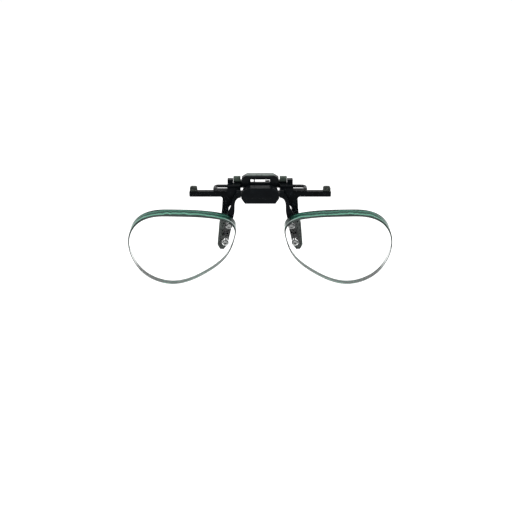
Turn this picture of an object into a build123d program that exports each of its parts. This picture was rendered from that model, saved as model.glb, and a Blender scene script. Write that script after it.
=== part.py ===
"""Clip-on flip lenses: a spring clip with four rubber pads that carries two rimless lenses on a flip hinge.

Frame: X to the right of a person facing the lenses, Y towards the wearer, Z up, in millimetres.
The origin is the middle of the grip, halfway between the four pads, in the plane of the
spectacle lens that they hold. Every piece of the right-hand side is mirrored to the left.
"""
import math
import os

from build123d import *

# ---- grip: four rubber pads that hold a spectacle lens between them ----
GRIP_GAP = 2.2                 # thickness of the spectacle lens that the pads stand off for
PAD_THICK = 3.1                # along Y
PAD_WIDTH = 3.4
PAD_HEIGHT = 10.4
PAD_CHAMFER = 1.0               # along the lower edge, and PAD_SHOULDER up the side
PAD_SHOULDER = 1.6
PAD_TOP_CHAMFER = 0.5
PAD_ROUND = 0.5                # round the face away from the grip
PAD_X = 13.45                  # pad centre, from the middle plane
PAD_LEAN = 5.5                 # degrees, the lower end points outward
TONGUE_WIDTH = 2.0             # metal tongue inside each pad
TONGUE_THICK = 1.0
TONGUE_END = 4.0               # below the pad centre
TONGUE_SETBACK = 1.3           # rubber between the grip face and the tongue

# ---- jaw hinge: the rear jaw turns on the rear legs of two bent wires ----
HINGE_Y = 0.6
HINGE_Z = 16.7
WIRE_R = 0.58
WIRE_BEND = 1.4
WIRE_REACH = 16.1              # outer end of the loop, wire centre line
WIRE_FRONT_Y = -4.2
WIRE_FRONT_START = 8.3
WIRE_REAR_START = 0.4
HINGE_CLEARANCE = 0.05
KNUCKLE_R = 1.4

# ---- front jaw ----
BAR_TOP = 16.0
BAR_HEIGHT = 2.0
BAR_Y = (-3.9, -1.9)
BAR_END = 25.1
ARM_TOP_X = (9.0, 13.3)        # sides of the arm where it leaves the bar
ARM_ROOT = (9.7, 11.6)         # the inner side runs down to here before it slants outward
ARM_MID_X = (11.2, 13.6)       # sides farther down, where it narrows most
ARM_MID_Z = 9.9
ARM_NECK_HALF = 1.2            # half its width just above the pad
ARM_GUSSET = 1.2
BLOCK_X = (7.0, 11.6)
BLOCK_Y = (-5.0, -1.4)
BLOCK_TOP = 18.4
OUTER_EAR_X = (9.6, 11.6)
OUTER_EAR_TOP = 19.7
STOP_X = 23.6
STOP_SIZE = (2.6, 1.8, 1.6)
STOP_ROUND = 0.7
SPIGOT_R = 0.5
SPIGOT_DEPTH = 1.0
NECK_ABOVE_PAD = 0.4
ROOT_RISE = 0.6                # lower edge of the arm's root above that of the bar

# ---- flip hinge and its hood ----
FLIP_Y = -8.0
FLIP_Z = 16.3
HOOD_Y = (-10.6, -5.8)
HOOD_WALL = 0.8
HOOD_BEVEL = 0.7
HOOD_TAPER = 40                # degrees
HOOD_FRONT_WALL = 0.35         # behind the bevel
FACET_X = (4.5, 6.7)           # the front face falls back between these, on both sides
FACET_DEPTH = 1.0
LIP_DEPTH = 0.6
HOOD_PROFILE = [(4.3, 18.75), (6.0, 17.6), (6.6, 16.2), (6.6, 15.1), (5.3, 13.25)]
LIP_Z = (15.8, 14.5)           # the front face ends above, the recessed lip starts below
BASE_THICK = 0.8
BASE_TOP = 17.6
BASE_WING_Z = 15.0             # lower edge of the wings, which end in to BASE_WAIST_X
BASE_WAIST_X = 7.2
BASE_NOTCH_X = (6.0, 6.95)     # daylight between the hood and each side block
BASE_NOTCH_Z = 16.7
RIVET_X = 7.75
RIVET_Z = 16.8
RIVET_R = 0.4
RIVET_LENGTH = 1.8
RIVET_HEAD_R = 0.65
RIVET_HEAD = 0.3
BARREL_R = 1.45
BARREL_HALF = 4.45
GROOVE = 0.55                  # side of the square bar that cuts each detent groove
LEAF_WIDTH = 4.2
LEAF_THICK = 0.2
LEAF_GAP = 0.06                # below the barrel
LEAF_REACH = 1.0               # each bent half of the leaf, and each flat foot's far end at 1.5
LEAF_FOOT = 1.5
JOURNAL_R = 1.0
JOURNAL_CLEARANCE = 0.05
PIN_R = 0.5
PIN_END = 7.9
JOURNAL_END = 6.75
HUB_R = 1.25
HUB_END = 8.2

# ---- finger plate: the octagonal upper plate with a see-through slot ----
PLATE_Y = -4.2
PLATE_WALL = 0.9
PLATE_BULGE = 1.1              # how far the front face falls back from the middle to the sides
PLATE_PROFILE = [(4.6, 21.95), (6.5, 20.7), (6.5, 18.0), (4.95, 17.0)]
SLOT_HALF = 3.4
SLOT_Z = (19.3, 20.35)
CHEEK_BACK = 1.4

# ---- rear jaw ----
YOKE_Y = (2.4, 3.4)
YOKE_BAR_Z = (13.6, 16.6)
YOKE_NOTCH_X = (6.0, 7.0)
YOKE_NOTCH_Z = 15.5
LUG_X = (7.0, 9.5)
LUG_LINK_Z = (16.4, 19.0)      # where each lug reaches the side of the finger plate
LUG_EAR_TOP = 20.35
YOKE_HALF = 8.3
TAB_END = 11.6
TAB_TOP = 16.1

# ---- torsion spring that closes the jaws ----
COIL_R = 2.0
COIL_WIRE_R = 0.22
COIL_PITCH = 0.52
COIL_TURNS = 3
COIL_X = 1.7
LEG_X = -2.1
LEG_TOP = 20.2

# ---- lenses ----
LENS_TILT = 15.0               # degrees, the top edge leans forward
LENS_AT = (27.75, -10.45, -4.2)
LENS_THICK = 4.0
LENS_RADIUS = 200.0
LENS_RISE = 0.7                # middle of the front face ahead of its edge plane
LENS_OUTLINE = [
    (-17.6, 11.8), (-12.6, 13.95), (-5.0, 15.0), (3.0, 15.25), (9.5, 14.75), (14.6, 12.3),
    (17.9, 7.8), (19.0, 2.5), (17.9, -4.5), (14.2, -10.9), (9.4, -14.1), (4.2, -15.1),
    (-1.0, -13.95), (-8.0, -10.0), (-14.2, -4.7), (-17.4, 0.5), (-18.9, 5.5), (-19.2, 9.2),
]
SCREW_SPOTS = [(-16.95, 10.6), (-15.5, 3.8)]
HOLE_R = 0.55
SEAT_R = 1.2
FRONT_SEAT = -0.45             # floor of the washer recess, from the lens edge plane
REAR_SEAT = -4.1
WASHER_R = 1.1
FRONT_WASHER = 0.3
REAR_WASHER = 0.5
STRAP_THICK = 0.9
NUT_THICK = 0.8
SCREW_R = 0.5
HEAD_R = 0.95
HEAD_HEIGHT = 0.55
HEAD_ROUND = 0.35
SCREW_PROUD = 0.15             # screw end beyond the nut
SOCKET_R = 0.5                 # corner radius of the hexagon socket
SOCKET_DEPTH = 0.35
NUT_R = 0.95
STRAP_HALF = 1.25
STRAP_END = 4.1                # from the lower screw to the rounded end of the strap
STRAP_SHOULDER_Z = 9.8
CURVE_TOP_Z = 17.3             # the lens arm where it leaves the hub, and its two curved sides
CURVE_OUTER = [(7.1, 17.25), (8.4, 16.4), (9.35, 15.0), (10.0, 13.1)]
CURVE_INNER = [(8.9, 12.4), (8.3, 14.3), (7.2, 15.0)]
CURVE_LOW_Z = 15.1
CURVE_BEND = 5.0               # bend of the arm towards the lens, seen from the side

BEYOND = 2.0                   # how far a cutting shape reaches past what it cuts
CORNER_ROUND = 0.35            # upper corners of the blocks and ears

# ---- positions that follow from the dimensions ----
ARM_FRONT_Y = (-GRIP_GAP / 2 - TONGUE_SETBACK - TONGUE_THICK, -GRIP_GAP / 2 - TONGUE_SETBACK)
STRAP_FRONT = REAR_SEAT - REAR_WASHER
STRAP_BACK = STRAP_FRONT - STRAP_THICK
HEAD_BASE = FRONT_SEAT + FRONT_WASHER


def outline_of(*corners):
    """Flat outline through the corners, wound anticlockwise whatever their order."""
    turned = corners[1:] + corners[:1]
    area = sum(a * d - b * c for (a, b), (c, d) in zip(corners, turned))
    return Polygon(*(corners if area > 0 else corners[::-1]), align=None)


def slab(outline, front, back):
    """Solid with an outline drawn in X and Z, from y = front to y = back."""
    return extrude(Plane.XZ.offset(-back) * outline, back - front, dir=(0, -1, 0))


def side_slab(outline, left, right):
    """Solid with an outline drawn in Y and Z, from x = left to x = right."""
    return extrude(Plane.YZ.offset(left) * outline, right - left, dir=(1, 0, 0))


def plan_slab(outline, low, high):
    """Solid with an outline drawn in X and Y, from z = low to z = high."""
    return extrude(Pos(0, 0, low) * outline, high - low, dir=(0, 0, 1))


def bent_rod(radius, bend, *corners):
    """Round wire along straight runs that are joined by bends of one radius."""
    path = FilletPolyline(*corners, radius=bend) if len(corners) > 2 else Line(*corners)
    section = Plane(origin=path @ 0, z_dir=path % 0) * Circle(radius)
    return sweep(section, path=path)


def block(x, y, z):
    """Box between the given limits, each a (low, high) pair."""
    size = [high - low for low, high in (x, y, z)]
    middle = [(high + low) / 2 for low, high in (x, y, z)]
    return Pos(*middle) * Box(*size)


def rod(radius, left, right, y, z):
    """Round rod along X."""
    return Pos((left + right) / 2, y, z) * Rot(0, 90, 0) * Cylinder(radius, right - left)


def octagon(half_profile):
    """Outline symmetric about the middle plane, from its right-hand corners, top to bottom."""
    right = list(half_profile)
    left = [(-x, z) for x, z in reversed(half_profile)]
    return outline_of(*right, *left)


def other_side(shape):
    """The same piece on the left."""
    return mirror(shape, Plane.YZ)


# The lens plane: local x points outward, local y up along the lens, local z out of its front face.
TILT = math.radians(LENS_TILT)
LENS_PLANE = Plane(
    origin=LENS_AT,
    x_dir=(1, 0, 0),
    z_dir=(0, -math.cos(TILT), -math.sin(TILT)),
)


def on_lens(shape):
    """Moves a shape from the lens's own frame into the part's frame."""
    return LENS_PLANE * shape


def at_screws(low, high, radius):
    """One round disc at each screw of a lens, between two depths of the lens's own frame."""
    depth = high - low
    return [Pos(u, v, (low + high) / 2) * Cylinder(radius, depth) for u, v in SCREW_SPOTS]


# ---- lenses and what fastens them ----
def lens():
    """Meniscus lens with polished flat edge, two screw holes and a washer recess at each face."""
    sheet = make_face(Spline(*LENS_OUTLINE, periodic=True))
    blank = Pos(0, 0, -LENS_THICK - BEYOND) * extrude(sheet, LENS_THICK + 2 * BEYOND)
    front = Pos(0, 0, LENS_RISE - LENS_RADIUS) * Sphere(LENS_RADIUS)
    back = Pos(0, 0, LENS_RISE - LENS_RADIUS - LENS_THICK) * Sphere(LENS_RADIUS)
    body = (blank & front) - back
    body -= at_screws(-LENS_THICK - BEYOND, BEYOND, HOLE_R)
    body -= at_screws(FRONT_SEAT, BEYOND, SEAT_R)
    body -= at_screws(-LENS_THICK - BEYOND, REAR_SEAT, SEAT_R)
    return on_lens(body)


def washers(low, thick):
    rings = at_screws(low, low + thick, WASHER_R)
    holes = at_screws(low - BEYOND, low + thick + BEYOND, SCREW_R)
    return [on_lens(ring - hole) for ring, hole in zip(rings, holes)]


def screws():
    """Domed screws with a hexagon socket, through the lens, the strap and the nut."""
    made = []
    for u, v in SCREW_SPOTS:
        shank_low = STRAP_BACK - NUT_THICK - SCREW_PROUD
        shank = Pos(u, v, (shank_low + HEAD_BASE) / 2) * Cylinder(SCREW_R, HEAD_BASE - shank_low)
        head = Pos(u, v, HEAD_BASE + HEAD_HEIGHT / 2) * Cylinder(HEAD_R, HEAD_HEIGHT)
        head = fillet(head.edges().sort_by(Axis.Z)[-1], HEAD_ROUND)
        socket = Pos(u, v, HEAD_BASE + HEAD_HEIGHT - SOCKET_DEPTH) * extrude(RegularPolygon(SOCKET_R, 6), 1)
        made.append(on_lens(shank + head - socket))
    return made


def nuts():
    made = []
    for u, v in SCREW_SPOTS:
        hexagon = extrude(RegularPolygon(NUT_R, 6), NUT_THICK)
        hexagon -= Cylinder(SCREW_R, 2 * BEYOND)
        made.append(on_lens(Pos(u, v, STRAP_BACK - NUT_THICK) * hexagon))
    return made


# ---- flip hinge ----
def strap_point(v, depth):
    """Y and Z of a point of the lens's own frame, at height v and the given depth."""
    spot = LENS_PLANE.from_local_coords((0, v, depth))
    return (spot.Y, spot.Z)


def lens_arm():
    """Curved arm from the flip pin to the strap behind the lens, drawn in front and in side view."""
    (upper_u, upper_v), (lower_u, lower_v) = SCREW_SPOTS
    middle = (STRAP_FRONT + STRAP_BACK) / 2
    lens_x = LENS_AT[0]
    top_x = lens_x + upper_u
    low_x = lens_x + lower_u
    upper_z = strap_point(upper_v, middle)[1]
    lower_z = strap_point(lower_v, middle)[1]
    lean = (low_x - top_x) / (upper_z - lower_z)
    half = STRAP_HALF
    shoulder = STRAP_SHOULDER_Z
    end_z = strap_point(lower_v - STRAP_END + half, middle)[1]

    def strap_x(z):
        return top_x + lean * (upper_z - z)

    outer_low = (strap_x(end_z) + half, end_z)
    inner_low = (strap_x(end_z) - half, end_z)
    tip = (strap_x(end_z - half), end_z - half)
    outer_shoulder = (strap_x(shoulder) + half, shoulder)
    inner_shoulder = (strap_x(shoulder) - half, shoulder)
    outline = make_face([
        Line((JOURNAL_END, CURVE_TOP_Z), CURVE_OUTER[0]),
        Spline(*CURVE_OUTER, outer_shoulder),
        Line(outer_shoulder, outer_low),
        ThreePointArc(outer_low, tip, inner_low),
        Line(inner_low, inner_shoulder),
        Spline(inner_shoulder, *CURVE_INNER),
        Line(CURVE_INNER[-1], (JOURNAL_END, CURVE_LOW_Z)),
        Line((JOURNAL_END, CURVE_LOW_Z), (JOURNAL_END, CURVE_TOP_Z)),
    ])
    side_path = FilletPolyline(
        strap_point(lower_v - STRAP_END - 1, middle),
        strap_point(upper_v + 1.9, middle),
        (FLIP_Y, FLIP_Z + 1.0),
        radius=CURVE_BEND,
    )
    side = trace(side_path, STRAP_THICK)
    arm = slab(outline, 2 * FLIP_Y, 0) & side_slab(side, JOURNAL_END, LENS_AT[0])
    arm += rod(HUB_R, JOURNAL_END, HUB_END, FLIP_Y, FLIP_Z)
    arm -= rod(PIN_R, 0, PIN_END, FLIP_Y, FLIP_Z)
    for hole in at_screws(STRAP_BACK - BEYOND, STRAP_FRONT + BEYOND, SCREW_R):
        arm -= on_lens(hole)
    return arm


def flip_barrel():
    """Barrel inside the hood, with a journal at each end and two detent grooves."""
    barrel = rod(BARREL_R, -BARREL_HALF, BARREL_HALF, FLIP_Y, FLIP_Z)
    barrel += rod(JOURNAL_R, -JOURNAL_END, JOURNAL_END, FLIP_Y, FLIP_Z)
    groove = Rot(45, 0, 0) * Box(LEAF_WIDTH + GROOVE, GROOVE, GROOVE)
    barrel -= Pos(0, FLIP_Y, FLIP_Z - BARREL_R) * groove
    barrel -= Pos(0, FLIP_Y + BARREL_R, FLIP_Z) * groove
    return barrel - rod(PIN_R, -PIN_END, PIN_END, FLIP_Y, FLIP_Z)


def flip_pin():
    """Pin through the barrel, pressed into the blind bore of each lens arm's hub."""
    return rod(PIN_R, -PIN_END, PIN_END, FLIP_Y, FLIP_Z)


def detent_spring():
    """Leaf under the barrel, arched so that its crown stands just clear of the barrel."""
    crown = FLIP_Z - BARREL_R - LEAF_GAP - LEAF_THICK / 2
    floor = HOOD_PROFILE[-1][1] + HOOD_WALL + LEAF_THICK / 2
    path = FilletPolyline(
        (FLIP_Y - LEAF_FOOT, floor), (FLIP_Y - LEAF_REACH, floor), (FLIP_Y, crown),
        (FLIP_Y + LEAF_REACH, floor), (FLIP_Y + LEAF_FOOT, floor), radius=0.5,
    )
    return side_slab(trace(path, LEAF_THICK), -LEAF_WIDTH / 2, LEAF_WIDTH / 2)


def hood():
    """Front cover of the flip hinge: bevelled hexagon with a recessed lower lip."""
    front, back = HOOD_Y
    outline = octagon(HOOD_PROFILE)
    shell = slab(outline, front + HOOD_BEVEL, back)
    shell += extrude(Plane.XZ.offset(-front - HOOD_BEVEL) * outline, HOOD_BEVEL, taper=HOOD_TAPER)
    face_end, lip_start = LIP_Z
    below = HOOD_PROFILE[-1][1] - BEYOND
    lip = outline_of((front - BEYOND, face_end), (front, face_end), (front + LIP_DEPTH, lip_start),
                     (front + LIP_DEPTH, below), (front - BEYOND, below))
    shell -= side_slab(lip, -HUB_END, HUB_END)
    start, end = FACET_X
    wedge = outline_of((start, front), (start, front - BEYOND), (end, front - BEYOND),
                       (end, front + FACET_DEPTH))
    facet = plan_slab(wedge, below, HOOD_PROFILE[0][1] + BEYOND)
    shell -= facet
    shell -= other_side(facet)
    cavity = offset(outline, -HOOD_WALL, kind=Kind.INTERSECTION)
    shell -= slab(cavity, front + HOOD_BEVEL + HOOD_FRONT_WALL, back + BEYOND)
    shell -= rod(JOURNAL_R + JOURNAL_CLEARANCE, -HUB_END, HUB_END, FLIP_Y, FLIP_Z)
    return shell


def base_plate():
    """Plate that closes the hood at the back and carries both side blocks on its wings."""
    back = HOOD_Y[1]
    bottom = HOOD_PROFILE[-1][1]
    half = HOOD_PROFILE[-1][0]
    wing = BLOCK_X[1]
    outline = octagon([(wing, BASE_TOP), (wing, BASE_WING_Z), (BASE_WAIST_X, BASE_WING_Z), (half, bottom)])
    plate = slab(outline, back, back + BASE_THICK)
    daylight = block(BASE_NOTCH_X, (back - BEYOND, back + BEYOND), (BASE_NOTCH_Z, BASE_TOP + BEYOND))
    plate -= daylight + other_side(daylight)
    for side in (-1, 1):
        plate -= Pos(side * RIVET_X, back, RIVET_Z) * Rot(90, 0, 0) * Cylinder(RIVET_R, 2 * BEYOND)
    return plate


def block_rivets():
    """One rivet at each side, through the base plate into the block."""
    made = []
    front = HOOD_Y[1]
    for side in (-1, 1):
        at = Pos(side * RIVET_X, front, RIVET_Z) * Rot(90, 0, 0)
        shank = at * Pos(0, 0, -RIVET_LENGTH / 2) * Cylinder(RIVET_R, RIVET_LENGTH)
        head = at * Pos(0, 0, RIVET_HEAD / 2) * Cylinder(RIVET_HEAD_R, RIVET_HEAD)
        made.append(shank + head)
    return made


# ---- front jaw ----
def arm_strip(bar_bottom):
    """Outline of the arm below the bar: a leaning strip that narrows to the pad's tongue."""
    lean = math.tan(math.radians(PAD_LEAN))
    neck = PAD_HEIGHT / 2 + NECK_ABOVE_PAD
    neck_x = PAD_X - lean * neck
    end_x = PAD_X + lean * TONGUE_END
    tongue = TONGUE_WIDTH / 2
    inner, outer = ARM_TOP_X
    inner_mid, outer_mid = ARM_MID_X
    return outline_of(
        (inner, bar_bottom), (outer, bar_bottom), (outer_mid, ARM_MID_Z),
        (neck_x + ARM_NECK_HALF, neck), (neck_x + tongue, neck),
        (end_x + tongue, -TONGUE_END), (end_x - tongue, -TONGUE_END),
        (neck_x - tongue, neck), (neck_x - ARM_NECK_HALF, neck), (inner_mid, ARM_MID_Z),
        ARM_ROOT,
    )


def front_arm():
    """Bar that lies across the brow of the spectacles, with the arm that hangs from it."""
    bottom = BAR_TOP - BAR_HEIGHT
    bar = block((BLOCK_X[0], BAR_END), BAR_Y, (bottom, BAR_TOP))
    bar = fillet(bar.edges().filter_by(Axis.Y).group_by(Axis.X)[-1], CORNER_ROUND)
    root = block(BLOCK_X, (BLOCK_Y[0], BAR_Y[1]), (bottom + ROOT_RISE, BAR_TOP))
    strip = slab(arm_strip(bottom), *ARM_FRONT_Y)
    corner = ARM_TOP_X[1]
    gusset = outline_of((corner, bottom), (corner + ARM_GUSSET, bottom), (corner, bottom - ARM_GUSSET))
    round_cut = Pos(corner + ARM_GUSSET, bottom - ARM_GUSSET) * Circle(ARM_GUSSET)
    web = slab(gusset - round_cut, *ARM_FRONT_Y)
    arm = bar + root + strip + web
    return arm - Pos(STOP_X, (BAR_Y[0] + BAR_Y[1]) / 2, BAR_TOP) * Cylinder(SPIGOT_R, 2 * SPIGOT_DEPTH)


def bar_stop():
    """Rounded stop on the outer end of the bar, held by a spigot."""
    width, depth, height = STOP_SIZE
    middle = (BAR_Y[0] + BAR_Y[1]) / 2
    cap = Pos(STOP_X, middle, BAR_TOP + height / 2) * Box(width, depth, height)
    cap = fillet(cap.edges().filter_by(Axis.Y).group_by(Axis.Z)[-1], STOP_ROUND)
    return cap + Pos(STOP_X, middle, BAR_TOP - SPIGOT_DEPTH / 2) * Cylinder(SPIGOT_R, SPIGOT_DEPTH)


def pad(front_side):
    """Rubber boot over a tongue, chamfered at its lower end, with a flat grip face."""
    grip = GRIP_GAP / 2
    width, height = PAD_WIDTH, PAD_HEIGHT
    half = width / 2
    low = -height / 2
    top = PAD_TOP_CHAMFER
    outline = outline_of(
        (-half + top, -low), (half - top, -low), (half, -low - top), (half, low + PAD_SHOULDER),
        (half - PAD_CHAMFER, low), (-half + PAD_CHAMFER, low), (-half, low + PAD_SHOULDER),
        (-half, -low - top),
    )
    boot = Pos(PAD_X, 0, 0) * Rot(0, -PAD_LEAN, 0) * slab(outline, -grip - PAD_THICK, -grip)
    outer = boot.faces().sort_by(Axis.Y)[0]
    boot = fillet(outer.edges(), PAD_ROUND)
    boot -= slab(arm_strip(BAR_TOP), *ARM_FRONT_Y)
    return boot if front_side else mirror(boot, Plane.XZ)


def side_block():
    """Block on the base plate's wing, with the outer hinge ear behind it and a hole for each wire leg."""
    body = block(BLOCK_X, BLOCK_Y, (BAR_TOP, BLOCK_TOP))
    body = fillet(body.edges().filter_by(Axis.X).group_by(Axis.Z)[-1], 0.35)
    left, right = OUTER_EAR_X
    link = block((left, right), (BLOCK_Y[1] - 0.5, HINGE_Y), (HINGE_Z - KNUCKLE_R, BLOCK_TOP - 0.4))
    ear = block((left, right), (BLOCK_Y[1] - 0.4, HINGE_Y), (BAR_TOP, OUTER_EAR_TOP))
    knuckle = rod(KNUCKLE_R, left, right, HINGE_Y, HINGE_Z)
    under = block((left - 1, right + 1), (BLOCK_Y[0], BAR_Y[1] + 0.5), (0, BAR_TOP))
    body = body + ((link + ear + knuckle) - under)
    body -= rod(WIRE_R, WIRE_FRONT_START, right + 1, WIRE_FRONT_Y, HINGE_Z)
    body -= rod(WIRE_R, left - 1, right + 1, HINGE_Y, HINGE_Z)
    hole = Pos(RIVET_X, BLOCK_Y[0], RIVET_Z) * Rot(90, 0, 0) * Cylinder(RIVET_R, 2.0)
    return body - hole


def hinge_wire():
    """U-shaped wire: its rear leg is the pin of the jaw hinge, its front leg is held in the block."""
    return bent_rod(
        WIRE_R, WIRE_BEND,
        (WIRE_REAR_START, HINGE_Y, HINGE_Z), (WIRE_REACH, HINGE_Y, HINGE_Z),
        (WIRE_REACH, WIRE_FRONT_Y, HINGE_Z), (WIRE_FRONT_START, WIRE_FRONT_Y, HINGE_Z),
    )


# ---- rear jaw ----
def finger_plate():
    """Octagonal shell that is pressed to open the jaws: a bulged front with a slot, open at the back."""
    outline = octagon(PLATE_PROFILE)
    side_y = PLATE_Y + PLATE_BULGE
    flank = PLATE_PROFILE[1][0] + 1
    swell = make_face([
        ThreePointArc((-flank, side_y), (0, PLATE_Y), (flank, side_y)),
        Polyline((flank, side_y), (flank, CHEEK_BACK), (-flank, CHEEK_BACK), (-flank, side_y)),
    ])
    shell = slab(outline, PLATE_Y, CHEEK_BACK) & plan_slab(swell, 10, 26)
    bevel = outline_of((PLATE_Y - 1, 23), (PLATE_Y - 1, 20.8), (PLATE_Y, 21.3), (PLATE_Y + 0.8, 22),
                       (PLATE_Y + 0.8, 23))
    shell -= side_slab(bevel, -flank, flank)
    cavity = offset(outline, -PLATE_WALL, kind=Kind.INTERSECTION)
    shell -= slab(cavity, PLATE_Y + PLATE_BULGE + 0.2, CHEEK_BACK + 1)
    sloped_back = outline_of((-1.4, 24), (-0.6, 20.3), (3, 18.4), (3, 24))
    shell -= side_slab(sloped_back, -flank, flank)
    shell -= block((-5.4, 5.4), (-2.4, 3), (16, 19))
    return shell - block((-SLOT_HALF, SLOT_HALF), (PLATE_Y - 1, PLATE_Y + 2), SLOT_Z)


def rear_yoke():
    """Bridge behind the hinge with two lugs that turn on the wires and stand up beside the plate."""
    bridge = block((-YOKE_HALF, YOKE_HALF), YOKE_Y, YOKE_BAR_Z)
    daylight = block(YOKE_NOTCH_X, (YOKE_Y[0] - 1, YOKE_Y[1] + 1), (YOKE_BAR_Z[0] - 1, YOKE_NOTCH_Z))
    bridge -= daylight + other_side(daylight)
    bridge -= rod(COIL_R + 1.6 * COIL_WIRE_R, COIL_X - 0.5, COIL_X + 2.1, HINGE_Y, HINGE_Z)
    left, right = LUG_X
    lug = block((left, right), (HINGE_Y - 0.4, YOKE_Y[0]), (HINGE_Z - KNUCKLE_R, HINGE_Z + KNUCKLE_R))
    lug += block((left, right), (HINGE_Y, YOKE_Y[0]), (14.2, HINGE_Z))
    lug += rod(KNUCKLE_R, left, right, HINGE_Y, HINGE_Z)
    lug += block((left, right), (HINGE_Y - 1.2, HINGE_Y + 0.8), (HINGE_Z, LUG_LINK_Z[1]))
    lug += block((PLATE_PROFILE[1][0], right), (HINGE_Y - 1.2, HINGE_Y + 0.8), LUG_LINK_Z)
    ear = block((left, right), (HINGE_Y - 1.2, HINGE_Y + 0.9), (HINGE_Z, LUG_EAR_TOP))
    lug += fillet(ear.edges().filter_by(Axis.X).group_by(Axis.Z)[-1], 0.35)
    lug -= rod(WIRE_R + HINGE_CLEARANCE, left - 1, right + 1, HINGE_Y, HINGE_Z)
    return bridge + lug + other_side(lug)


def rear_arm():
    """Tab soldered to the yoke, with the arm that hangs from it behind the spectacle lens."""
    bottom = BAR_TOP - BAR_HEIGHT
    tab = outline_of((YOKE_HALF, bottom), (ARM_TOP_X[1], bottom), (TAB_END, TAB_TOP - 1.4),
                     (TAB_END, TAB_TOP - 0.4), (TAB_END - 0.4, TAB_TOP), (YOKE_HALF, TAB_TOP))
    return slab(tab, *YOKE_Y) + slab(arm_strip(bottom), *YOKE_Y)


# ---- torsion spring ----
def torsion_spring():
    """Close-wound coil round the hinge wires, with a leg up into the plate and one to the base plate."""
    front = HINGE_Y - COIL_R
    coil_end = COIL_X + COIL_PITCH * COIL_TURNS
    winding = Plane(origin=(COIL_X, HINGE_Y, HINGE_Z), x_dir=(0, -1, 0), z_dir=(1, 0, 0))
    helix = Helix(COIL_PITCH, COIL_PITCH, COIL_R)
    section = Plane(origin=helix @ 0, z_dir=helix % 0) * Circle(COIL_WIRE_R)
    turn = sweep(section, path=helix, is_frenet=True)
    coil = winding * turn
    for count in range(1, COIL_TURNS):
        coil = coil.fuse(winding * (Pos(0, 0, count * COIL_PITCH) * turn))
    upper_leg = bent_rod(COIL_WIRE_R, 0.4, (COIL_X, front, HINGE_Z - 0.1), (COIL_X, front, HINGE_Z + 0.8),
                         (LEG_X, front, HINGE_Z + 0.8), (LEG_X, front, LEG_TOP))
    lower_leg = bent_rod(COIL_WIRE_R, 0.4, (coil_end, front, HINGE_Z + 0.1), (coil_end, front, 15.2),
                         (coil_end, BLOCK_Y[0] + COIL_WIRE_R, 14.4))
    spring = coil
    for leg, x in ((upper_leg, COIL_X), (lower_leg, coil_end)):
        spring = spring.fuse(Pos(x, front, HINGE_Z) * Sphere(COIL_WIRE_R * 1.15)).fuse(leg)
    return spring


RIGHT_AND_LEFT = {
    "lens": lens(),
    "lens_arm": lens_arm(),
    "side_block": side_block(),
    "front_arm": front_arm(),
    "front_pad": pad(True),
    "bar_stop": bar_stop(),
    "hinge_wire": hinge_wire(),
    "rear_arm": rear_arm(),
    "rear_pad": pad(False),
}
GROUPS = {
    "lens_screws": screws(),
    "lens_nuts": nuts(),
    "lens_front_washers": washers(FRONT_SEAT, FRONT_WASHER),
    "lens_rear_washers": washers(STRAP_FRONT, REAR_WASHER),
}
SINGLE = {
    "hood": hood(),
    "base_plate": base_plate(),
    "detent_spring": detent_spring(),
    "flip_barrel": flip_barrel(),
    "flip_pin": flip_pin(),
    "finger_plate": finger_plate(),
    "rear_yoke": rear_yoke(),
    "torsion_spring": torsion_spring(),
}

os.makedirs("parts", exist_ok=True)
for name, shape in RIGHT_AND_LEFT.items():
    export_step(shape, f"parts/{name}_right.step")
    export_step(other_side(shape), f"parts/{name}_left.step")
for name, solids in GROUPS.items():
    export_step(Compound(solids + [other_side(solid) for solid in solids]), f"parts/{name}.step")
for name, shape in SINGLE.items():
    export_step(shape, f"parts/{name}.step")
export_step(Compound(block_rivets()), "parts/block_rivets.step")
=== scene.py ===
"""Looks of the clip-on flip lenses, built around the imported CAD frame. Lengths are in metres."""
import math

import bmesh
import bpy
import numpy as np
from mathutils import Matrix, Vector


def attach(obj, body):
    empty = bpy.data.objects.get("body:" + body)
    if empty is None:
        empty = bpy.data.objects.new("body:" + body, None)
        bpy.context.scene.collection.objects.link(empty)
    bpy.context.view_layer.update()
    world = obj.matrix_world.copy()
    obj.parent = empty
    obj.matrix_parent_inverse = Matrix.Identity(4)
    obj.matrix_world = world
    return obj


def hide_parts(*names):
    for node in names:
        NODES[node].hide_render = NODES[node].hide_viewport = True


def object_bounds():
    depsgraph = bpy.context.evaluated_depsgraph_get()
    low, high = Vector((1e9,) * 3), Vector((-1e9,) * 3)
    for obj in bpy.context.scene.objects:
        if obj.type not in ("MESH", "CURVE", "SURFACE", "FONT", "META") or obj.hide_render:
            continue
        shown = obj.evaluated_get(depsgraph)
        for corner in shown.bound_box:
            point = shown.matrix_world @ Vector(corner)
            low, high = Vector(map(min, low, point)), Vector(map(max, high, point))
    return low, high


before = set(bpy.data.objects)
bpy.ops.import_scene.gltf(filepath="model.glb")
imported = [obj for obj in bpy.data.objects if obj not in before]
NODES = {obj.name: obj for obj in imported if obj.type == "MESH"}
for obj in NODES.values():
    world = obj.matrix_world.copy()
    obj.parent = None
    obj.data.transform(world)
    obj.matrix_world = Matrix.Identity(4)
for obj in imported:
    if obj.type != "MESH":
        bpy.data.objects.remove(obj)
cad_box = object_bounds()

MM = 0.001


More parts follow.
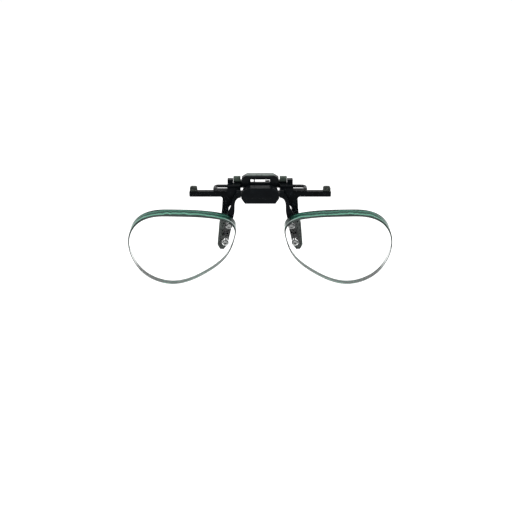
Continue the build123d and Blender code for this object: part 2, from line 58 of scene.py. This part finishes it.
# ---------------------------------------------------------------- lens dimensions, in millimetres
LENS_TILT = math.radians(15.0)
LENS_UP = Vector((0, -math.sin(LENS_TILT), math.cos(LENS_TILT)))
LENS_OUT = Vector((0, -math.cos(LENS_TILT), -math.sin(LENS_TILT)))
LENS_AT = Vector((27.75, -10.45, -4.2)) * MM
LENS_THICK = 4.0
LENS_RADIUS = 200.0
LENS_RISE = 0.7
FRONT_BEVEL = 0.5
REAR_BEVEL = 0.15
LENS_OUTLINE = [
    (-17.6, 11.8), (-12.6, 13.95), (-5.0, 15.0), (3.0, 15.25), (9.5, 14.75), (14.6, 12.3),
    (17.9, 7.8), (19.0, 2.5), (17.9, -4.5), (14.2, -10.9), (9.4, -14.1), (4.2, -15.1),
    (-1.0, -13.95), (-8.0, -10.0), (-14.2, -4.7), (-17.4, 0.5), (-18.9, 5.5), (-19.2, 9.2),
]
SCREW_SPOTS = [(-16.95, 10.6), (-15.5, 3.8)]
HOLE_R = 0.55
SEAT_R = 1.2
FRONT_SEAT = -0.45               # floors of the washer recesses, from the lens's edge plane
REAR_SEAT = -4.1
BEYOND = 2.0                     # how far a cutting shape reaches past what it cuts

# painted highlight on the rear jaw's coating: the heights in millimetres above which it turns paler, and its
# tones
PLATE_TOP = 21.95
EAR_FOOT = 18.6
PLATE_PAINTED_HIGHLIGHT = (0.130, 0.150, 0.140)
EAR_PAINTED_HIGHLIGHT = (0.050, 0.066, 0.054)


# ---------------------------------------------------------------- node material helpers
class Shader:
    """A principled material with short calls for the nodes that feed it."""

    def __init__(self, name, color, roughness, metallic=0.0, specular=0.5):
        self.material = bpy.data.materials.new(name)
        self.material.use_nodes = True
        self.tree = self.material.node_tree
        self.bsdf = self.tree.nodes["Principled BSDF"]
        self.bsdf.inputs["Base Color"].default_value = (*color, 1)
        self.bsdf.inputs["Roughness"].default_value = roughness
        self.bsdf.inputs["Metallic"].default_value = metallic
        self.bsdf.inputs["Specular IOR Level"].default_value = specular
        coordinates = self.tree.nodes.new("ShaderNodeTexCoord")
        self.millimetres = self.tree.nodes.new("ShaderNodeMapping")
        self.millimetres.inputs["Scale"].default_value = (1 / MM, 1 / MM, 1 / MM)
        self.link(coordinates.outputs["Object"], self.millimetres.inputs["Vector"])

    def link(self, output, target):
        self.tree.links.new(output, target)

    def noise(self, scale, detail=3.0, stretch=(1, 1, 1)):
        """Noise with the given number of cells per millimetre, from 0 to 1."""
        source = self.millimetres.outputs["Vector"]
        if stretch != (1, 1, 1):
            mapping = self.tree.nodes.new("ShaderNodeMapping")
            mapping.inputs["Scale"].default_value = stretch
            self.link(source, mapping.inputs["Vector"])
            source = mapping.outputs["Vector"]
        texture = self.tree.nodes.new("ShaderNodeTexNoise")
        texture.inputs["Scale"].default_value = scale
        texture.inputs["Detail"].default_value = detail
        self.link(source, texture.inputs["Vector"])
        return texture.outputs["Fac"]

    def ramp(self, factor, stops):
        """Colour ramp from (position, colour) pairs; a number stands for a grey."""
        node = self.tree.nodes.new("ShaderNodeValToRGB")
        elements = node.color_ramp.elements
        while len(elements) < len(stops):
            elements.new(0.5)
        for element, (position, value) in zip(elements, stops):
            element.position = position
            element.color = (*value, 1) if isinstance(value, tuple) else (value, value, value, 1)
        self.link(factor, node.inputs["Fac"])
        return node.outputs["Color"]

    def color(self, factor, stops):
        self.link(self.ramp(factor, stops), self.bsdf.inputs["Base Color"])

    def roughness(self, factor, low, high):
        self.link(self.ramp(factor, [(0.3, low), (0.7, high)]), self.bsdf.inputs["Roughness"])

    def bump(self, *layers):
        """Bump from (height output, depth in metres) pairs."""
        normal = None
        for height, depth in layers:
            node = self.tree.nodes.new("ShaderNodeBump")
            node.inputs["Distance"].default_value = depth
            self.link(height, node.inputs["Height"])
            if normal is not None:
                self.link(normal, node.inputs["Normal"])
            normal = node.outputs["Normal"]
        self.link(normal, self.bsdf.inputs["Normal"])


def black_coat():
    """Satin black coating on stamped metal: fine orange peel, small rub marks that show grey."""
    shader = Shader("black_coat", (0.004, 0.005, 0.006), 0.3, specular=0.04)
    broad = shader.noise(0.35, 4)
    fine = shader.noise(7.0, 3)
    shader.color(broad, [(0.30, (0.0010, 0.0015, 0.0020)), (0.62, (0.0020, 0.0028, 0.0036)),
                         (0.80, (0.0045, 0.0058, 0.0064))])
    shader.roughness(shader.noise(1.6, 5), 0.26, 0.34)
    shader.bump((fine, 0.0012 * MM), (broad, 0.008 * MM))
    return shader.material


def painted_highlight_coat(name, low, high, highlight_tone):
    """The black coating with a painted highlight: paler from the lower height in millimetres up to the
    higher and above it, broken up by noise.
    """
    shader = Shader(name, (0.004, 0.005, 0.006), 0.32, specular=0.06)
    split = shader.tree.nodes.new("ShaderNodeSeparateXYZ")
    shader.link(shader.millimetres.outputs["Vector"], split.inputs["Vector"])
    height = shader.tree.nodes.new("ShaderNodeMapRange")
    height.inputs["From Min"].default_value = low
    height.inputs["From Max"].default_value = high
    shader.link(split.outputs["Z"], height.inputs["Value"])
    patchy_highlight = shader.tree.nodes.new("ShaderNodeMath")
    patchy_highlight.operation = "MULTIPLY"
    shader.link(height.outputs["Result"], patchy_highlight.inputs[0])
    shader.link(shader.ramp(shader.noise(0.9, 4), [(0.3, 0.55), (0.6, 1.0)]), patchy_highlight.inputs[1])
    # painted highlight: the coat goes over to the given pale tone above the height band
    shader.color(patchy_highlight.outputs["Value"], [(0.0, (0.0020, 0.0028, 0.0034)), (1.0, highlight_tone)])
    shader.roughness(shader.noise(1.6, 5), 0.26, 0.38)
    shader.bump((shader.noise(7.0, 3), 0.0015 * MM))
    return shader.material


def stop_coat():
    """The same coating, rubbed greyer on the stops at the ends of the bars."""
    shader = Shader("stop_coat", (0.03, 0.034, 0.031), 0.48, specular=0.12)
    wear = shader.noise(1.1, 5)
    shader.color(wear, [(0.35, (0.008, 0.010, 0.009)), (0.70, (0.034, 0.039, 0.033))])
    shader.roughness(wear, 0.40, 0.62)
    shader.bump((shader.noise(6.0, 3), 0.01 * MM))
    return shader.material


def pad_rubber():
    """Dark grey-green rubber with a powdery bloom and a fine moulded grain."""
    shader = Shader("pad_rubber", (0.02, 0.024, 0.022), 0.6, specular=0.08)
    bloom = shader.noise(0.55, 5)
    shader.color(bloom, [(0.32, (0.012, 0.017, 0.015)), (0.55, (0.022, 0.029, 0.026)),
                         (0.78, (0.038, 0.046, 0.042))])
    shader.roughness(shader.noise(1.4, 4), 0.48, 0.72)
    shader.bump((shader.noise(9.0, 2), 0.003 * MM), (shader.noise(1.2, 3), 0.010 * MM))
    return shader.material


def wire_black():
    """Blackened spring wire, drawn along its length, glossier than the coating."""
    shader = Shader("wire_black", (0.008, 0.009, 0.010), 0.3, specular=0.15)
    drawn = shader.noise(2.5, 4, stretch=(0.15, 2, 2))
    shader.color(drawn, [(0.35, (0.005, 0.0055, 0.006)), (0.70, (0.014, 0.015, 0.016))])
    shader.roughness(drawn, 0.24, 0.38)
    shader.bump((drawn, 0.005 * MM))
    return shader.material


def bright_steel():
    """Turned steel of the screws and nuts, with faint tool rings and handling marks."""
    shader = Shader("bright_steel", (0.20, 0.205, 0.205), 0.26, metallic=1.0)
    turned = shader.noise(5.0, 3, stretch=(1, 0.2, 1))
    shader.color(shader.noise(1.5, 4), [(0.3, (0.13, 0.135, 0.135)), (0.7, (0.27, 0.275, 0.27))])
    shader.roughness(turned, 0.18, 0.32)
    shader.bump((turned, 0.006 * MM))
    return shader.material


def washer_nylon():
    """Dull black nylon."""
    shader = Shader("washer_nylon", (0.02, 0.021, 0.022), 0.55, specular=0.15)
    mottled = shader.noise(2.4, 4)
    shader.color(mottled, [(0.3, (0.012, 0.013, 0.014)), (0.7, (0.030, 0.032, 0.033))])
    shader.roughness(mottled, 0.45, 0.65)
    shader.bump((shader.noise(8.0, 2), 0.008 * MM))
    return shader.material


def lens_glass():
    """Clear polished lens with a coating that cuts reflections, and a faint smear of handling."""
    shader = Shader("lens_glass", (0.985, 1.0, 0.992), 0.0)
    shader.bsdf.inputs["Transmission Weight"].default_value = 1.0
    shader.bsdf.inputs["IOR"].default_value = 1.25
    shader.link(shader.ramp(shader.noise(0.12, 4), [(0.45, 0.0), (0.75, 0.006)]),
                shader.bsdf.inputs["Roughness"])
    shader.bump((shader.noise(0.08, 2), 0.004 * MM))
    return shader.material


def lens_edge(side):
    """Edge wall: the glass's green edge tint painted on the up-facing wall and streaked with painted
    reflections; a painted highlight as one pale streak at the nose corner, set in painted dark reflection;
    dark glass elsewhere.
    """
    shader = Shader(f"lens_edge_{side}", (0.9, 1.0, 0.95), 0.08, specular=0.12)
    outward = Vector((1 if side == "right" else -1, 0, 0))
    tree = shader.tree
    shader.bsdf.inputs["IOR"].default_value = 1.50

    def along(source, direction):
        node = tree.nodes.new("ShaderNodeVectorMath")
        node.operation = "DOT_PRODUCT"
        node.inputs[1].default_value = direction
        shader.link(source, node.inputs[0])
        return node.outputs["Value"]

    def rescale(source, low, high, new_low=0.0, new_high=1.0):
        node = tree.nodes.new("ShaderNodeMapRange")
        for index, value in enumerate((low, high, new_low, new_high)):
            node.inputs[index + 1].default_value = value
        shader.link(source, node.inputs["Value"])
        return node.outputs["Result"]

    def add(first, second):
        node = tree.nodes.new("ShaderNodeMath")
        node.operation = "ADD"
        shader.link(first, node.inputs[0])
        shader.link(second, node.inputs[1])
        return node.outputs["Value"]

    surface = tree.nodes.new("ShaderNodeTexCoord")
    out_of_face = LENS_OUT.dot(LENS_AT) / MM
    depth = rescale(along(shader.millimetres.outputs["Vector"], LENS_OUT),
                    out_of_face - LENS_THICK, out_of_face + 0.4)
    wander = rescale(shader.noise(0.22, 3, stretch=(1, 0.2, 0.2)), 0.2, 0.8, -0.22, 0.22)
    streak = add(depth, wander)
    # green edge tint with painted reflections: dark and bright green streaks by depth, with a bright band
    # near the front
    light = shader.ramp(streak, [
        (0.00, (0.003, 0.014, 0.010)), (0.12, (0.002, 0.010, 0.008)), (0.24, (0.028, 0.115, 0.080)),
        (0.36, (0.008, 0.050, 0.034)), (0.48, (0.002, 0.018, 0.012)), (0.58, (0.018, 0.095, 0.062)),
        (0.70, (0.110, 0.300, 0.215)), (0.80, (0.010, 0.050, 0.035)), (1.00, (0.002, 0.009, 0.007)),
    ])
    # painted highlight: a pale streak near the front of the nose-facing wall, set in painted dark reflection
    corner = shader.ramp(streak, [
        (0.00, (0.004, 0.010, 0.008)), (0.62, (0.006, 0.020, 0.015)), (0.74, (0.42, 0.47, 0.46)),
        (0.86, (0.50, 0.54, 0.53)), (0.94, (0.010, 0.020, 0.017)), (1.00, (0.004, 0.008, 0.007)),
    ])
    facing_nose = rescale(along(surface.outputs["Normal"], -outward), 0.25, 0.60)
    lit = tree.nodes.new("ShaderNodeMix")
    lit.data_type = "RGBA"
    shader.link(facing_nose, lit.inputs["Factor"])
    shader.link(light, lit.inputs[6])
    shader.link(corner, lit.inputs[7])
    # only up-facing walls take the painted colours and turn mostly opaque; the other walls stay dark-tinted
    # glass
    facing_up = rescale(along(surface.outputs["Normal"], LENS_UP), 0.10, 0.55)
    blend = tree.nodes.new("ShaderNodeMix")
    blend.data_type = "RGBA"
    shader.link(facing_up, blend.inputs["Factor"])
    blend.inputs[6].default_value = (0.10, 0.18, 0.15, 1)
    shader.link(lit.outputs[2], blend.inputs[7])
    shader.link(blend.outputs[2], shader.bsdf.inputs["Base Color"])
    shader.link(rescale(facing_up, 0, 1, 1.0, 0.12), shader.bsdf.inputs["Transmission Weight"])
    shader.link(rescale(facing_up, 0, 1, 0.02, 0.22), shader.bsdf.inputs["Roughness"])
    shader.bump((shader.noise(0.9, 3, stretch=(1, 0.3, 0.3)), 0.02 * MM))
    return shader.material


def lens_bevel():
    """Ground safety bevel round the front edge: frosted, coloured dark grey-green as a painted dark
    reflection line.
    """
    shader = Shader("lens_bevel", (0.012, 0.026, 0.022), 0.45, specular=0.3)
    grind_and_painted_dark = shader.noise(3.0, 3)
    # painted dark reflection line along the front edge, mottled by the grind noise
    shader.color(grind_and_painted_dark, [(0.3, (0.003, 0.009, 0.007)), (0.7, (0.010, 0.024, 0.019))])
    shader.roughness(grind_and_painted_dark, 0.35, 0.6)
    shader.bump((shader.noise(8.0, 2), 0.01 * MM))
    return shader.material


# ---------------------------------------------------------------- carried-over CAD nodes
def dress(node, material, bevel=0.08, angle=28):
    """Gives a CAD node its material and rounds its sharp edges with modifiers."""
    piece = NODES[node]
    piece.data.materials.clear()
    piece.data.materials.append(material)
    weld = piece.modifiers.new("weld", "WELD")
    weld.merge_threshold = 0.002 * MM
    if bevel:
        flats = piece.modifiers.new("flats", "DECIMATE")
        flats.decimate_type = "DISSOLVE"
        flats.angle_limit = math.radians(0.6)
        rounded = piece.modifiers.new("rounded", "BEVEL")
        rounded.width = bevel * MM
        rounded.segments = 3
        rounded.limit_method = "ANGLE"
        rounded.angle_limit = math.radians(angle)
        rounded.use_clamp_overlap = True
    return piece


def dress_all():
    coat = black_coat()
    for node in ("hood", "base_plate", "block_rivets"):
        dress(node, coat, 0.10)
    # painted highlight on the top of the finger plate and on the yoke's ears above their feet
    dress("finger_plate", painted_highlight_coat("plate_painted_highlight_coat", PLATE_TOP - 0.45, PLATE_TOP - 0.05, PLATE_PAINTED_HIGHLIGHT), 0.14)
    dress("rear_yoke", painted_highlight_coat("yoke_painted_highlight_coat", EAR_FOOT, EAR_FOOT + 0.5, EAR_PAINTED_HIGHLIGHT), 0.10)
    for side in ("left", "right"):
        for node in ("side_block", "front_arm", "rear_arm"):
            dress(f"{node}_{side}", coat, 0.10)
        dress(f"lens_arm_{side}", coat, 0.22)
        dress(f"bar_stop_{side}", STOP)
        for node in ("front_pad", "rear_pad"):
            dress(f"{node}_{side}", RUBBER, 0.15)
        dress(f"hinge_wire_{side}", WIRE, 0)
    for node in ("torsion_spring", "detent_spring", "flip_barrel", "flip_pin"):
        dress(node, WIRE, 0)
    for node in ("lens_screws", "lens_nuts"):
        dress(node, STEEL, 0.05)
    for node in ("lens_front_washers", "lens_rear_washers"):
        dress(node, NYLON, 0.04)


# ---------------------------------------------------------------- lenses
FACE_SLOT, EDGE_SLOT, BEVEL_SLOT = 0, 1, 2
RIM_POINTS = 240
FACE_RINGS = 26


def smooth_loop(points, count):
    """Closed cubic spline through the points, evenly spaced by chord length."""
    knots = np.array(points, float)
    total = len(knots)
    chords = np.linalg.norm(np.roll(knots, -1, 0) - knots, axis=1)
    matrix = np.zeros((total, total))
    right = np.zeros((total, 2))
    for i in range(total):
        before, after = chords[i - 1], chords[i]
        matrix[i, i - 1] += after
        matrix[i, i] += 2 * (before + after)
        matrix[i, (i + 1) % total] += before
        right[i] = 3 * (after * (knots[i] - knots[i - 1]) / before
                        + before * (knots[(i + 1) % total] - knots[i]) / after)
    slopes = np.linalg.solve(matrix, right)
    starts = np.concatenate([[0], np.cumsum(chords)])
    loop = []
    for s in np.linspace(0, starts[-1], count, endpoint=False):
        i = min(int(np.searchsorted(starts, s, side="right")) - 1, total - 1)
        j = (i + 1) % total
        h = chords[i]
        t = (s - starts[i]) / h
        loop.append((2 * t**3 - 3 * t**2 + 1) * knots[i] + (t**3 - 2 * t**2 + t) * h * slopes[i]
                    + (3 * t**2 - 2 * t**3) * knots[j] + (t**3 - t**2) * h * slopes[j])
    return np.array(loop)


def dome(u, v):
    """Height of the lens's front face above its edge plane, in millimetres."""
    return LENS_RISE - LENS_RADIUS + math.sqrt(LENS_RADIUS**2 - u * u - v * v)


def lens_mesh(side):
    """Meniscus with polished, lightly bevelled edge; its screw holes are cut afterwards."""
    count, rings = RIM_POINTS, FACE_RINGS
    rim = smooth_loop(LENS_OUTLINE, count)

    def shrunk(inset):
        return rim * (1 - inset / np.linalg.norm(rim, axis=1))[:, None]

    work = bmesh.new()

    def ring(loop, height):
        return [work.verts.new((u, v, height(u, v))) for u, v in loop]

    def face(depth, inset):
        centre = work.verts.new((0, 0, dome(0, 0) - depth))
        edge = shrunk(inset)
        rows = [ring(edge * (k / rings), lambda u, v: dome(u, v) - depth) for k in range(1, rings + 1)]
        return centre, rows

    def join(low, high, slot=0):
        for i in range(count):
            j = (i + 1) % count
            work.faces.new((low[i], low[j], high[j], high[i])).material_index = slot

    fronts, backs = face(0, FRONT_BEVEL), face(LENS_THICK, REAR_BEVEL)
    for centre, rows in (fronts, backs):
        for i in range(count):
            work.faces.new((centre, rows[0][i], rows[0][(i + 1) % count]))
        for low, high in zip(rows, rows[1:]):
            join(low, high)
    walls = [fronts[1][-1]]
    walls.append(ring(rim, lambda u, v: dome(u, v) - FRONT_BEVEL))
    walls.append(ring(rim, lambda u, v: dome(u, v) - LENS_THICK + REAR_BEVEL))
    walls.append(backs[1][-1])
    for low, high, slot in zip(walls, walls[1:], (BEVEL_SLOT, EDGE_SLOT, FACE_SLOT)):
        join(low, high, slot)
    bmesh.ops.recalc_face_normals(work, faces=work.faces)
    mesh = bpy.data.meshes.new(f"lens_shape_{side}")
    work.to_mesh(mesh)
    work.free()
    return mesh


def cut_cylinder(radius, low, high, u, v):
    work = bmesh.new()
    bmesh.ops.create_cone(work, cap_ends=True, segments=48, radius1=radius, radius2=radius, depth=high - low)
    bmesh.ops.translate(work, verts=work.verts, vec=(u, v, (low + high) / 2))
    mesh = bpy.data.meshes.new("cutter")
    work.to_mesh(mesh)
    work.free()
    piece = bpy.data.objects.new("cutter", mesh)
    bpy.context.scene.collection.objects.link(piece)
    return piece


def settle(piece):
    """Applies every modifier of a piece to its mesh."""
    bpy.context.view_layer.update()
    graph = bpy.context.evaluated_depsgraph_get()
    final = bpy.data.meshes.new_from_object(piece.evaluated_get(graph))
    piece.modifiers.clear()
    piece.data = final
    return piece


def lens_piece(side, materials):
    piece = bpy.data.objects.new(f"clear_lens_{side}", lens_mesh(side))
    for material in materials:
        piece.data.materials.append(material)
    bpy.context.scene.collection.objects.link(piece)
    cutters = []
    for u, v in SCREW_SPOTS:
        below = -LENS_THICK - BEYOND
        for radius, low, high in ((HOLE_R, below, BEYOND), (SEAT_R, FRONT_SEAT, BEYOND),
                                  (SEAT_R, below, REAR_SEAT)):
            cutters.append(cut_cylinder(radius, low, high, u, v))
    for cutter in cutters:
        cut = piece.modifiers.new("hole", "BOOLEAN")
        cut.operation = "DIFFERENCE"
        cut.solver = "EXACT"
        cut.object = cutter
    settle(piece)
    for cutter in cutters:
        bpy.data.objects.remove(cutter)
    left = side == "left"
    place = Matrix((Vector((1, 0, 0)), LENS_UP, LENS_OUT)).transposed().to_4x4() @ Matrix.Scale(MM, 4)
    place = Matrix.Translation(LENS_AT) @ place
    if left:
        place = Matrix.Scale(-1, 4, (1, 0, 0)) @ place
    piece.data.transform(place)
    if left:
        piece.data.flip_normals()
    piece.data.polygons.foreach_set("use_smooth", [True] * len(piece.data.polygons))
    piece.data.set_sharp_from_angle(angle=math.radians(30))
    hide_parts(f"lens_{side}")
    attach(piece, "lens_carrier")
    return piece


# ---------------------------------------------------------------- stage, light and camera
CAMERA_DISTANCE = 0.269
CAMERA_HEIGHT_ANGLE = math.radians(19.3)
CAMERA_SIDE = -0.00147
CAMERA_DOWN = math.radians(21.13)
CAMERA_DROP = -0.0008
CAMERA_FOV = math.radians(38.5)
FLOOR_DROP = 0.012
FLOOR_REACH = 6
WORLD_STRENGTH = 1.08


def add_camera():
    data = bpy.data.cameras.new("camera")
    data.angle = CAMERA_FOV
    data.clip_start = 0.01
    data.clip_end = 20
    camera = bpy.data.objects.new("camera", data)
    bpy.context.scene.collection.objects.link(camera)
    camera.location = (
        CAMERA_SIDE,
        -CAMERA_DISTANCE * math.cos(CAMERA_HEIGHT_ANGLE),
        CAMERA_DISTANCE * math.sin(CAMERA_HEIGHT_ANGLE) + CAMERA_DROP,
    )
    camera.rotation_euler = (math.radians(90) - CAMERA_DOWN, 0, 0)
    bpy.context.scene.camera = camera


def add_floor():
    """Plain pale floor below the part, as far down as the spectacles would stand."""
    lowest = cad_box[0][2] - FLOOR_DROP
    work = bmesh.new()
    reach = FLOOR_REACH
    corners = [work.verts.new((x, y, lowest))
               for x, y in ((-reach, -reach), (reach, -reach), (reach, reach), (-reach, reach))]
    work.faces.new(corners)
    mesh = bpy.data.meshes.new("floor")
    work.to_mesh(mesh)
    work.free()
    floor = bpy.data.objects.new("floor", mesh)
    bpy.context.scene.collection.objects.link(floor)
    shader = Shader("floor_paper", (0.94, 0.94, 0.94), 0.9, specular=0.1)
    shader.color(shader.noise(0.02, 2), [(0.2, (0.93, 0.93, 0.93)), (0.8, (0.95, 0.95, 0.95))])
    floor.data.materials.append(shader.material)


def add_light(name, place, size, power, target=(0, -0.005, 0)):
    data = bpy.data.lights.new(name, "AREA")
    data.shape = "RECTANGLE"
    data.size, data.size_y = size
    data.energy = power
    lamp = bpy.data.objects.new(name, data)
    bpy.context.scene.collection.objects.link(lamp)
    lamp.location = place
    lamp.rotation_euler = (Vector(target) - Vector(place)).to_track_quat("-Z", "Y").to_euler()


def add_world():
    """Soft white light from all round."""
    world = bpy.data.worlds.new("world")
    bpy.context.scene.world = world
    world.use_nodes = True
    background = world.node_tree.nodes["Background"]
    background.inputs["Color"].default_value = (1, 1, 1, 1)
    background.inputs["Strength"].default_value = WORLD_STRENGTH


add_camera()
add_floor()
add_world()
add_light("key", (-0.35, -0.45, 0.75), (0.5, 0.35), 4.0)
add_light("fill", (0.5, -0.4, 0.6), (0.35, 0.35), 2.0)
bpy.context.scene.view_settings.view_transform = "Standard"

RUBBER = pad_rubber()
STOP = stop_coat()
WIRE = wire_black()
STEEL = bright_steel()
NYLON = washer_nylon()
GLASS = lens_glass()
GROUND_AND_PAINTED_DARK = lens_bevel()

dress_all()
for side_name in ("left", "right"):
    lens_piece(side_name, (GLASS, lens_edge(side_name), GROUND_AND_PAINTED_DARK))
